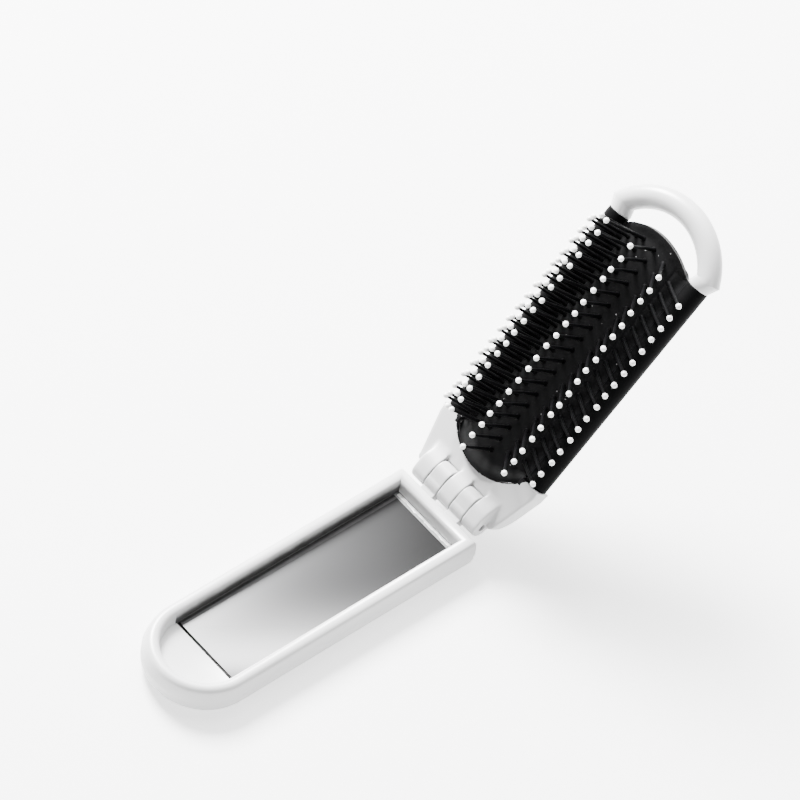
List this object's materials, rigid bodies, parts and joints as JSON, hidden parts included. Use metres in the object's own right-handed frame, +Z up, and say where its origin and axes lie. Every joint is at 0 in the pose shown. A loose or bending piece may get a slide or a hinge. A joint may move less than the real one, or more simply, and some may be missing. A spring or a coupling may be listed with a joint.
{
  "type": "folding hairbrush with mirror",
  "caption": "Folding hairbrush opened on its mirror cover: hinge, pop-up rubber pad with ball-tipped bristles, looped frame and rectangular mirror.",
  "frame": {"origin": "middle of the cover's flat back, on which the opened brush stands", "axes": "+X from the cover's round end toward the hinge, +Y along the hinge axis toward the brush's left, +Z up, out of the mirror"},
  "size_m": [0.1617, 0.0368, 0.079],
  "materials": {
    "white_plastic": "satin gloss moulded plastic",
    "mirror": "silvered glass",
    "backing": "matt painted sheet",
    "foam": "matt adhesive foam",
    "steel": "drawn wire",
    "black_sleeve": "semi gloss",
    "pad_rubber": "satin rubber",
    "bristle_black": "satin nylon",
    "tip_white": "glossy"
  },
  "bodies": {
    "cover": {"cover_shell": "white_plastic", "mirror_glass": "mirror", "mirror_backing": "backing", "adhesive_pad": "foam"},
    "frame": {"hinge_plate": "white_plastic", "hinge_pin": "steel", "loop_handle": "white_plastic"},
    "left_hem": {"left_sleeve": "black_sleeve", "row_g_bristles": "bristle_black", "row_g_tips": "tip_white"},
    "right_hem": {"right_sleeve": "black_sleeve", "row_a_bristles": "bristle_black", "row_a_tips": "tip_white"},
    "pad": {"pad_panel": "pad_rubber", "row_c_bristles": "bristle_black", "row_c_tips": "tip_white"},
    "row_b": {"row_b_bristles": "bristle_black", "row_b_tips": "tip_white"},
    "row_d": {"row_d_bristles": "bristle_black", "row_d_tips": "tip_white"},
    "row_e": {"row_e_bristles": "bristle_black", "row_e_tips": "tip_white"},
    "row_f": {"row_f_bristles": "bristle_black", "row_f_tips": "tip_white"}
  },
  "joints": [
    {"name": "fold", "type": "hinge", "parent": "cover", "child": "frame", "pos_m": [0.04885, 0, 0.009], "axis": [0, -1, 0], "range_deg": [0, 132]},
    {"name": "pad_slide", "type": "slide", "parent": "frame", "child": "pad", "axis": [0.7431, 0, -0.6691], "range_m": [0, 0.0121]},
    {"name": "row_b_flex", "type": "hinge", "parent": "pad", "child": "row_b", "pos_m": [0.08323, -0.0042, 0.04533], "axis": [-0.6691, 0, -0.7431], "range_deg": [0, 34.9]},
    {"name": "row_d_flex", "type": "hinge", "parent": "pad", "child": "row_d", "pos_m": [0.08323, 0.0042, 0.04533], "axis": [0.6691, 0, 0.7431], "range_deg": [0, 25]},
    {"name": "row_e_flex", "type": "hinge", "parent": "pad", "child": "row_e", "pos_m": [0.08354, 0.0063, 0.04504], "axis": [0.6691, 0, 0.7431], "range_deg": [0, 30.7]},
    {"name": "row_f_flex", "type": "hinge", "parent": "pad", "child": "row_f", "pos_m": [0.08394, 0.00815, 0.04469], "axis": [0.6691, 0, 0.7431], "range_deg": [0, 39.7]},
    {"name": "left_sleeve_roll", "type": "hinge", "parent": "frame", "child": "left_hem", "pos_m": [0.08476, 0.0145, 0.04395], "axis": [0.6691, 0, 0.7431], "range_deg": [0, 60.2]},
    {"name": "right_sleeve_roll", "type": "hinge", "parent": "frame", "child": "right_hem", "pos_m": [0.08476, -0.0145, 0.04395], "axis": [-0.6691, 0, -0.7431], "range_deg": [0, 74.2]}
  ],
  "couplings": [
    {"joint": "pad_slide", "follows": "fold", "m_per_rad": 0.0052087},
    {"joint": "row_b_flex", "follows": "fold", "ratio": 0.26288},
    {"joint": "row_d_flex", "follows": "fold", "ratio": 0.18788},
    {"joint": "row_e_flex", "follows": "fold", "ratio": 0.23106},
    {"joint": "row_f_flex", "follows": "fold", "ratio": 0.29924},
    {"joint": "left_sleeve_roll", "follows": "fold", "ratio": 0.45455},
    {"joint": "right_sleeve_roll", "follows": "fold", "ratio": 0.56061}
  ]
}
